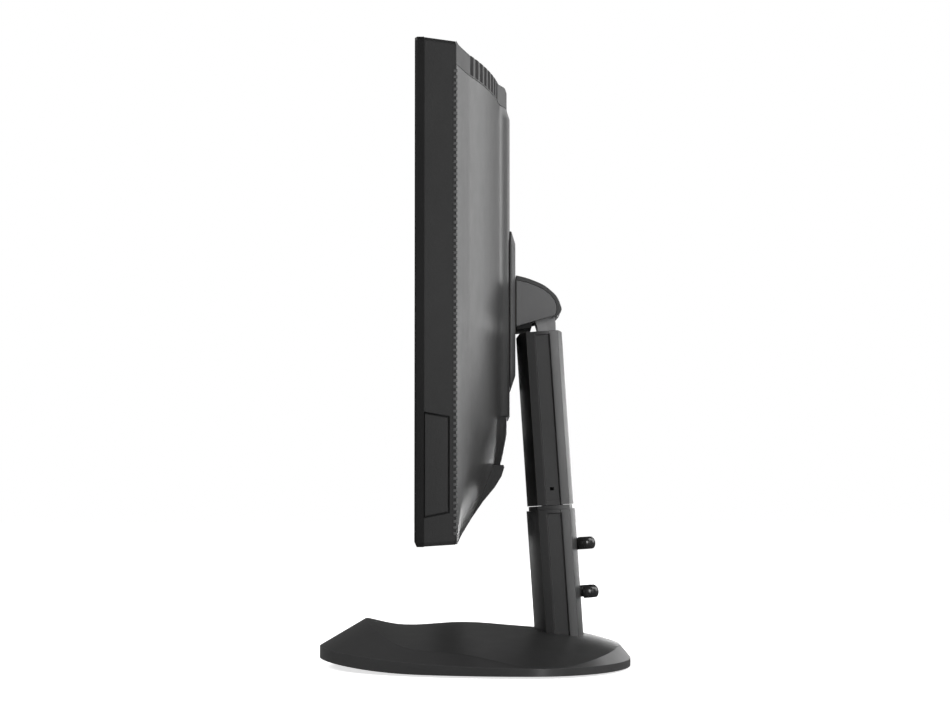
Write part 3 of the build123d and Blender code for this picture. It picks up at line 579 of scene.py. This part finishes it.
def plain_depth(x, z, raised=0.0):
    """Depth of the head's back: outer strips, a crease, and a swelling with a share of its raised panel."""
    x = abs(x)
    crease = crease_at(z)
    if x >= crease:
        return BAND_BACK_Y + 0.1 + (STRIP_START - x) * STRIP_SLOPE
    rim = BAND_BACK_Y + 0.1 + (STRIP_START - crease) * STRIP_SLOPE
    across = x * CREASE_X / crease
    depth = profile(across)
    if across < PANEL_HALF_W:
        foot = profile(PANEL_HALF_W)
        squeeze = (PLAIN_PEAK - foot) / (profile(0.0) - foot)
        depth = foot + (depth - foot) * (squeeze + (1 - squeeze) * raised)
    return rim + (depth - profile(CREASE_X)) * between(SWELL, z)


def rear_depth(x, z):
    """Depth of the back with its raised panel, which ends in a slope above and a small ledge below."""
    step = profile(0.0) - PLAIN_PEAK
    drop = max(0.0, (z - PANEL_HIGH) * PANEL_END_SLOPE, (PANEL_LOW - z) * 2.5)
    return plain_depth(x, z, max(0.0, 1.0 - drop / step))


def rear_columns(z):
    """Places across the back at one height, denser at the crease and the raised panel."""
    crease = crease_at(z)
    inner = [0, 12, 24, 36, 48, 55, 59, 62, 65, 68, 71, 74, 77, 80, 83, 86, 90, 94, BAY_HALF_W]
    outer = [BAY_HALF_W + (crease - BAY_HALF_W) * k / 22 for k in range(1, 22)]
    strip = [crease + (REAR_HALF_W - crease) * k / 5 for k in range(6)]
    right = inner + outer + strip
    return [-x for x in reversed(right)] + right[1:]


def rear_shell():
    """Textured back casing, open at the connector bay and above the vent's lower edge."""
    levels = [97, 98, 99.5, 102, 105, 108, 111, 114, 118, 122, 126, 130, 134, 138, 142, 146, 150, BAY_TOP]
    levels += [156, 160, 164, 168, 172, 176, 180, 184, 186, 188.1, 188.5, PANEL_LOW, 190, 195]
    levels += [195 + 11 * k for k in range(1, 20)] + [409, 411, PANEL_HIGH, 414, 415.5, 417, 418.5, VENT_LOW]
    outer = [[(x, rear_depth(x, z), z) for x in rear_columns(z)] for z in levels]
    inner = [[(x, max(y - SKIN, BAND_BACK_Y + 0.05), z) for x, y, z in row] for row in outer]

    def keep(i, j):
        low_x, high_x = sorted((outer[i][j][0], outer[i][j + 1][0]))
        in_bay = low_x > -BAY_HALF_W - 0.1 and high_x < BAY_HALF_W + 0.1
        return not (in_bay and outer[i + 1][j][2] < BAY_TOP + 0.1)

    shell = solid("rear_shell", *thick_grid(outer, inner, keep))
    soften(shell, 0.5, 2, 28)
    return place(shell, "head", "rear_plastic", "rear_cover")


def vent_columns():
    """Places across the vent strip: slot edges, and a few between them."""
    right = [0, 16, 32, 48, 64, 80, 90]
    for slot in reversed(range(SLOTS)):
        centre = SLOT_FIRST - slot * SLOT_PITCH
        right += [centre - SLOT_W / 2, centre, centre + SLOT_W / 2]
    right += [221, 233, 245, 258, REAR_HALF_W]
    return [-x for x in reversed(right)] + right[1:]


def vent_strip():
    """Smooth strip along the top of the back, slotted up through its rounded top edge."""
    columns = vent_columns()
    heights = [VENT_LOW + 0.25, VENT_LOW + 1.2, 424.5, 429, VENT_TOP - VENT_ROUND]
    turns = [math.pi / 2 * k / 5 for k in range(1, 6)]
    outer, inner = [], []
    for z in heights:
        outer.append([(x, plain_depth(x, VENT_LOW), z) for x in columns])
    for turn in turns:
        row = []
        for x in columns:
            depth = plain_depth(x, VENT_LOW)
            radius = min(VENT_ROUND, max(0.3, depth - BAND_BACK_Y - 0.3))
            height = VENT_TOP - VENT_ROUND * (1 - math.sin(turn))
            row.append((x, depth - radius * (1 - math.cos(turn)), height))
        outer.append(row)
    last = outer[-1]
    for back in (3.5, 60.0):
        outer.append([(x, max(BAND_BACK_Y + 0.15, y - back), VENT_TOP) for x, y, _ in last])
    for row in outer:
        moved = []
        for x, y, z in row:
            moved.append((x, max(BAND_BACK_Y + 0.1, y - SKIN), min(z, VENT_TOP - SKIN)))
        inner.append(moved)
    slots = [SLOT_FIRST - k * SLOT_PITCH for k in range(SLOTS)]
    first, final = 1, len(outer) - 2

    def keep(i, j):
        middle = abs(columns[j] + columns[j + 1]) / 2
        in_slot = any(abs(middle - centre) < SLOT_W / 2 for centre in slots)
        return not (in_slot and first <= i < final)

    strip = solid("vent_strip", *thick_grid(outer, inner, keep))
    soften(strip, 0.25, 2, 30)
    return place(strip, "head", "vent_plastic", "vent_panel")


def dark_sheet_for_vent_shade():
    """Dark sheet behind the vent slots: painted shade that stands in for the shadow inside the casing."""
    columns = [c * 22.0 for c in range(-10, 11)]
    outer = []
    for z in (421, 425, 429, 432):
        outer.append([(x, max(BAND_BACK_Y + 1.6, plain_depth(x, VENT_LOW) - 9.0), z) for x in columns])
    inner = [[(x, y - 1.2, z) for x, y, z in row] for row in outer]
    shade_sheet = solid("vent_shade_sheet", *thick_grid(outer, inner, lambda i, j: True))
    soften(shade_sheet, 0)
    # The darkest plastic makes the slots show painted shade.
    return place(shade_sheet, "head", "bezel_plastic")


def seam_teeth():
    """Row of small square teeth that bridge the seam between the band and the rear shell, on both sides."""
    points, faces = [], []
    count = int((TEETH_HIGH - TEETH_LOW) / TOOTH_PITCH)
    for side in (-1, 1):
        for k in range(count):
            z = TEETH_LOW + k * TOOTH_PITCH
            section = ((BAND_BACK_Y - 1.5, 271.95), (BAND_BACK_Y + 1.2, 271.55), (BAND_BACK_Y + 1.2, 270.2),
                       (BAND_BACK_Y - 1.5, 270.2))
            loops = [[(side * x, y, level) for y, x in section] for level in (z, z + TOOTH)]
            more, sides = lofted(loops)
            faces += [tuple(len(points) + n for n in face) for face in sides]
            points += more
    teeth = solid("seam_teeth", points, faces)
    soften(teeth, 0.2, 1, 40)
    return place(teeth, "head", "vent_plastic")


front_bezel()
side_band()
blank_cover()
rear_shell()
vent_strip()
dark_sheet_for_vent_shade()
seam_teeth()
refined("connector_hood", "socket_hood", "head", "rear_plastic", 0.5)
refined("plate_cover", "mount_cover", "head", "hinge_plastic", 0.5)


# ---------------------------------------------------------------- stand


def on_column(x, y, h):
    """A place given along the leaning column: across, back, and up its axis."""
    return (x, FOOT_Y + y * math.cos(LEAN) - h * math.sin(LEAN), y * math.sin(LEAN) + h * math.cos(LEAN))


def cable_hook(name, low, side, node):
    """Open ring with a rounded, thumb-shaped section; its mouth faces side."""
    path = [(-side * 14.0, 14.5)]
    for centre, start, turn in ((-side * 10.5, 0, 1), (side * 10.5, 1, 1)):
        for step in range(7):
            angle = math.pi / 2 * (start + turn * step / 6)
            path.append((centre - side * 5.8 * math.cos(angle), 22.5 + 5.8 * math.sin(angle)))
    path.append((side * 16.3, 19.0))
    loops = []
    for k, (x, y) in enumerate(path):
        before, after = path[max(0, k - 1)], path[min(len(path) - 1, k + 1)]
        along = Vector((after[0] - before[0], after[1] - before[1])).normalized()
        across = Vector((-along.y, along.x))
        loop = []
        for step in range(20):
            angle = 2 * math.pi * step / 20
            c, s = math.cos(angle), math.sin(angle)
            outward = 1 if across.dot(Vector((x, y - 18.0))) > 0 else -1
            wide = (2.5 if c * outward > 0 else 1.0) * c
            loop.append(on_column(x + across.x * wide, y + across.y * wide, low + 4.5 + 4.5 * s))
        loops.append(loop)
    tip = Vector(on_column(path[-1][0], path[-1][1] - 1.6, low + 4.5))
    loops.append([tuple(Vector(p) * 0.45 + tip * 0.55) for p in loops[-1]])
    hook = solid(name, *lofted(loops))
    soften(hook, 0)
    return place(hook, "base", "hook_plastic", node)


def radius_at(angle, half_w, front, rear):
    """Distance from the base's centre to an outline of two half ellipses, along an angle."""
    depth = rear if math.sin(angle) > 0 else front
    return 1 / math.hypot(math.cos(angle) / half_w, math.sin(angle) / depth)


dome_curve = smooth_curve(DOME)


def dome_height(x, y):
    return dome_curve(max(-130.0, min(130.0, y))) - DOME_DROP * (x / DOME_HALF_W) ** 2


def crossing(above, low, high):
    """The level where above(level) turns from true to false."""
    for _ in range(40):
        middle = (low + high) / 2
        if above(middle):
            low = middle
        else:
            high = middle
    return low


def base_loops(outline, inset, fractions):
    """Loops up the wall, up the bevel and in across the dome, all moved in by inset."""
    wall, lip, crown = [], [], []
    count = 224
    for k in range(count):
        angle = 2 * math.pi * k / count
        c, s = math.cos(angle), math.sin(angle)
        edge = radius_at(angle, *outline)

        def bevel_radius(z):
            share = (z - BEVEL_FOOT) / BEVEL_RISE
            sizes = (160 - 45 * share - inset, 173 - 50.2 * share - inset, 78.5 - 24.9 * share - inset)
            return radius_at(angle, *sizes)

        def dome_at(r):
            return dome_height(r * c, BASE_CENTRE_Y + r * s) - inset

        top = crossing(lambda z: bevel_radius(z) > edge and dome_at(edge) > z, 0.0, 36.0)
        peak = crossing(lambda z: dome_at(min(edge, bevel_radius(z))) > z, top, 37.0)
        rim = min(edge, bevel_radius(peak))
        lift = 0.0
        y = BASE_CENTRE_Y + edge * s
        if y < LIP_START_Y:
            lift = LIP_R - math.sqrt(LIP_R**2 - (y - LIP_START_Y) ** 2)
        wall.append((edge * c, y, BASE_LOW + lift))
        lip.append((edge * c, y, top))
        crown.append((rim, angle, peak))
    loops = [wall, lip]
    for share in (0.5, 1.0):
        row = []
        for (x, y, z), (rim, angle, peak) in zip(lip, crown):
            end = (rim * math.cos(angle), BASE_CENTRE_Y + rim * math.sin(angle), peak)
            row.append(tuple(a + (b - a) * share for a, b in zip((x, y, z), end)))
        loops.append(row)
    for share in fractions:
        row = []
        for rim, angle, _ in crown:
            x, y = rim * share * math.cos(angle), BASE_CENTRE_Y + rim * share * math.sin(angle)
            row.append((x, y, dome_height(x, y) - inset))
        loops.append(row)
    return loops


def column_section(grow, height):
    """The column's outline at a height: crowned sides, curved front and back."""
    half = COLUMN_HALF_W + grow
    edge = half - SIDE_CROWN
    points = []
    for reach, sign in ((-19.0 - grow, 1), (16.3 + grow, -1)):
        for step in range(17):
            x = sign * edge * (step / 8 - 1)
            base = 12.0 * (1 if reach > 0 else -1)
            points.append((x, base + (reach - base) * (1 - (x / edge) ** 2)))
        points.append((sign * half, 0.0))
    return [on_column(x, y, height) for x, y in points]


def base_shell():
    """Domed base cover with its raised front lip, side bevel, hollow underside and the column's socket."""
    shares = [0.985, 0.96, 0.93, 0.9, 0.86, 0.82, 0.78, 0.72, 0.66]
    shares += [0.58, 0.5, 0.42, 0.34, 0.26, 0.18, 0.1, 0.04]
    outside = base_loops((160.0, 158.5, 78.5), 0.0, shares)
    inside = base_loops((157.0, 118.0, 75.5), 3.0, shares[3::3])
    loops = list(reversed(outside)) + inside
    points, faces = lofted(loops)
    shell = solid("base_shell", points, faces)
    cut(shell, solid("socket", *lofted([column_section(1.3, 10), column_section(1.3, 45)])))
    soften(shell, 0.9, 3, 22)
    return place(shell, "base", "stand_plastic", "base_cover")


def scaled(loop, middle, scale):
    """A loop of two-number points drawn towards a middle."""
    return [tuple(Vector(middle) + (Vector(p) - Vector(middle)) * scale) for p in loop]


def tilt_hood():
    """Wedge-shaped hinge cover: a curved skin, a paler plate in each side, and a dark sheet underneath that
    is painted shade for the gap below the cover.
    """
    crown = smooth_curve(HOOD_CROWN)
    reach = HOOD_CROWN[-1][0] - HOOD_BACK
    places = [HOOD_BACK + reach * math.sin(math.pi / 2 * k / 16) for k in range(17)]
    top = [(y, crown(y)) for y in places]
    outline = top + list(HOOD_NOSE)
    loops = []
    for x, scale in ((-30.9, 0.97), (-30.3, 0.992), (-29.2, 1.0), (29.2, 1.0), (30.3, 0.992), (30.9, 0.97)):
        loops.append([(x, max(HOOD_BACK, y), z) for y, z in scaled(outline, HOOD_MIDDLE, scale)])
    skin = solid("tilt_hood", *lofted(loops))
    hollow = [(HOOD_BACK + 2, 250), (HOOD_BACK + 2, 292), (44, 287.5), (54, 282), (59, 276), (59.5, 250)]
    cut(skin, prism("hollow", hollow, "x", -28.2, 28.2))
    gap = [(44.0, 249.0), (70.0, 249.0), (70.0, 279.0), (44.0, 279.0)]
    cut(skin, prism("neck_gap", gap, "x", -18.6, 18.6))
    pocket = scaled(HOOD_PLATE, HOOD_MIDDLE, 1.02)
    pocket[0] = (HOOD_BACK - 1, pocket[0][1])
    pocket[-1] = (HOOD_BACK - 1, 250.0)
    for side in (-1, 1):
        cut(skin, prism("pocket", pocket, "x", *sorted((side * 29.6, side * 33.0))))
    soften(skin, 0.3, 2, 30)
    place(skin, "tilt", "hinge_plastic", "tilt_cover")
    points, faces = [], []
    for side in (-1, 1):
        rows = []
        for x, scale in ((29.7, 0.995), (30.5, 0.995), (30.9, 0.975)):
            rows.append([(side * x, y, z) for y, z in scaled(HOOD_PLATE, HOOD_MIDDLE, scale)])
        more, sides = lofted(rows)
        faces += [tuple(len(points) + n for n in face) for face in sides]
        points += more
    plates = solid("tilt_side_plates", points, faces)
    soften(plates, 0.15, 2, 40)
    place(plates, "tilt", "hinge_plastic")
    plates.data.materials[0] = finish["hinge_side"]
    # Dark sheet under the cover: painted shade for the gap beneath it.
    hood_shade = prism("hinge_shade_sheet", HOOD_SHADE_SHEET, "x", -27.5, 27.5)
    soften(hood_shade, 0.6, 2, 30)
    place(hood_shade, "tilt", "bezel_plastic")


def casing(node, body, grow, low, high):
    """Half of a column casing, with its side recess (from low to high) opened by a chamfer all round."""
    piece = joined(node, node.replace("column", "casing"))
    for side in (-1, 1):
        loops = []
        clear = RECESS_CHAMFER * (1 + 0.4 / RECESS_CHAMFER_DEPTH)
        for out, wider in ((-RECESS_CHAMFER_DEPTH, 0.0), (0.4, clear)):
            x = side * (COLUMN_HALF_W + grow + out)
            half, start, end = RECESS_HALF + wider, low - wider, high + wider
            corners = ((-half, start), (half, start), (half, end), (-half, end))
            loops.append([on_column(x, y, h) for y, h in corners])
        cut(piece, solid("chamfer", *lofted(loops)))
    soften(piece, 0.6, 3, 30)
    return place(piece, body, "stand_plastic", node)


base_shell()
tilt_hood()
cable_hook("hook_upper", 88, -1, "cable_hook_upper")
cable_hook("hook_lower", 51, 1, "cable_hook_lower")
for half in ("front", "rear"):
    casing("lower_column_" + half, "base", 0.9, 25.0, 116.5)
    casing("upper_column_" + half, "upper", 0.0, 123.2, 251.5)
refined("neck", "neck_casting", "upper", "neck_metal", 0.5)


# ---------------------------------------------------------------- studio

FLOOR_R = 14.0


def floor():
    """Large pale disc under the object."""
    shape = bmesh.new()
    bmesh.ops.create_circle(shape, cap_ends=True, segments=96, radius=FLOOR_R)
    mesh = bpy.data.meshes.new("studio_floor")
    shape.to_mesh(mesh)
    shape.free()
    disc = link("studio_floor", mesh)
    tree = Tree("studio_floor")
    patch = tree.noise(3.0, 2.0)
    tree.join(tree.blend(patch, (0.93, 0.93, 0.93), (0.95, 0.95, 0.95)), tree.shader.inputs["Base Color"])
    tree.shader.inputs["Roughness"].default_value = 0.9
    tree.shader.inputs["Specular IOR Level"].default_value = 0.0
    length = tree.add("ShaderNodeVectorMath", operation="LENGTH")
    tree.join(tree.place, length.inputs[0])
    glow = tree.spread(length.outputs["Value"], 0.72, 0.97, 0.3, 1.6)
    tree.join(glow, tree.shader.inputs["Emission Strength"])
    tree.shader.inputs["Emission Color"].default_value = (1, 1, 1, 1)
    mesh.materials.append(tree.material)
    disc.visible_glossy = False


def softbox(name, position, target, width, height, watts):
    """Rectangular area light that faces its target."""
    lamp = bpy.data.lights.new(name, "AREA")
    lamp.shape = "RECTANGLE"
    lamp.size = width
    lamp.size_y = height
    lamp.energy = watts
    piece = link(name, lamp)
    piece.location = position
    piece.rotation_euler = (Vector(target) - Vector(position)).to_track_quat("-Z", "Y").to_euler()
    piece.visible_camera = False


def studio_world():
    """Bright seamless backdrop that lights the object only faintly."""
    world = bpy.data.worlds.new("studio")
    bpy.context.scene.world = world
    world.use_nodes = True
    nodes, links = world.node_tree.nodes, world.node_tree.links
    background = nodes["Background"]
    background.inputs["Color"].default_value = (0.12, 0.12, 0.12, 1)
    backdrop = nodes.new("ShaderNodeBackground")
    backdrop.inputs["Color"].default_value = (1.0, 1.0, 1.0, 1)
    mix = nodes.new("ShaderNodeMixShader")
    links.new(nodes.new("ShaderNodeLightPath").outputs["Is Camera Ray"], mix.inputs["Fac"])
    links.new(background.outputs["Background"], mix.inputs[1])
    links.new(backdrop.outputs["Background"], mix.inputs[2])
    links.new(mix.outputs["Shader"], nodes["World Output"].inputs["Surface"])


floor()
studio_world()
middle = (0.0, 0.02, 0.22)
softbox("card_rear", (-2.6, 1.52, 0.95), middle, 0.8, 1.2, 4.6)
softbox("card_low_rear", (-2.98, 0.39, 0.22), middle, 0.3, 0.4, 2.5)
softbox("card_low_side", (-2.84, 1.0, 0.22), middle, 0.5, 0.4, 1.5)
softbox("card_low_front", (-2.84, -0.96, 0.22), middle, 0.5, 0.4, 2)
softbox("side", (2.6, 1.07, 0.7), middle, 0.6, 1.2, 32)
softbox("side_far", (1.72, 2.23, 0.7), middle, 0.5, 1.2, 5)
softbox("top_rear", (0.3, 1.8, 1.7), middle, 1.4, 1.2, 27)
softbox("top_front", (0.3, -1.8, 1.7), middle, 1.4, 1.2, 34)
softbox("back", (-0.9, 2.6, 1.1), middle, 1.6, 1.4, 26)

camera_data = bpy.data.cameras.new("camera")
camera_data.lens = 104.07
camera_data.sensor_width = 36.0
camera = link("camera", camera_data)
camera.location = (2.111, 0.0, 0.1256)
camera.rotation_euler = (math.radians(93.02), 0.0, math.radians(90.0))
scene = bpy.context.scene
scene.camera = camera
scene.view_settings.view_transform = "Standard"

bpy.context.view_layer.update()
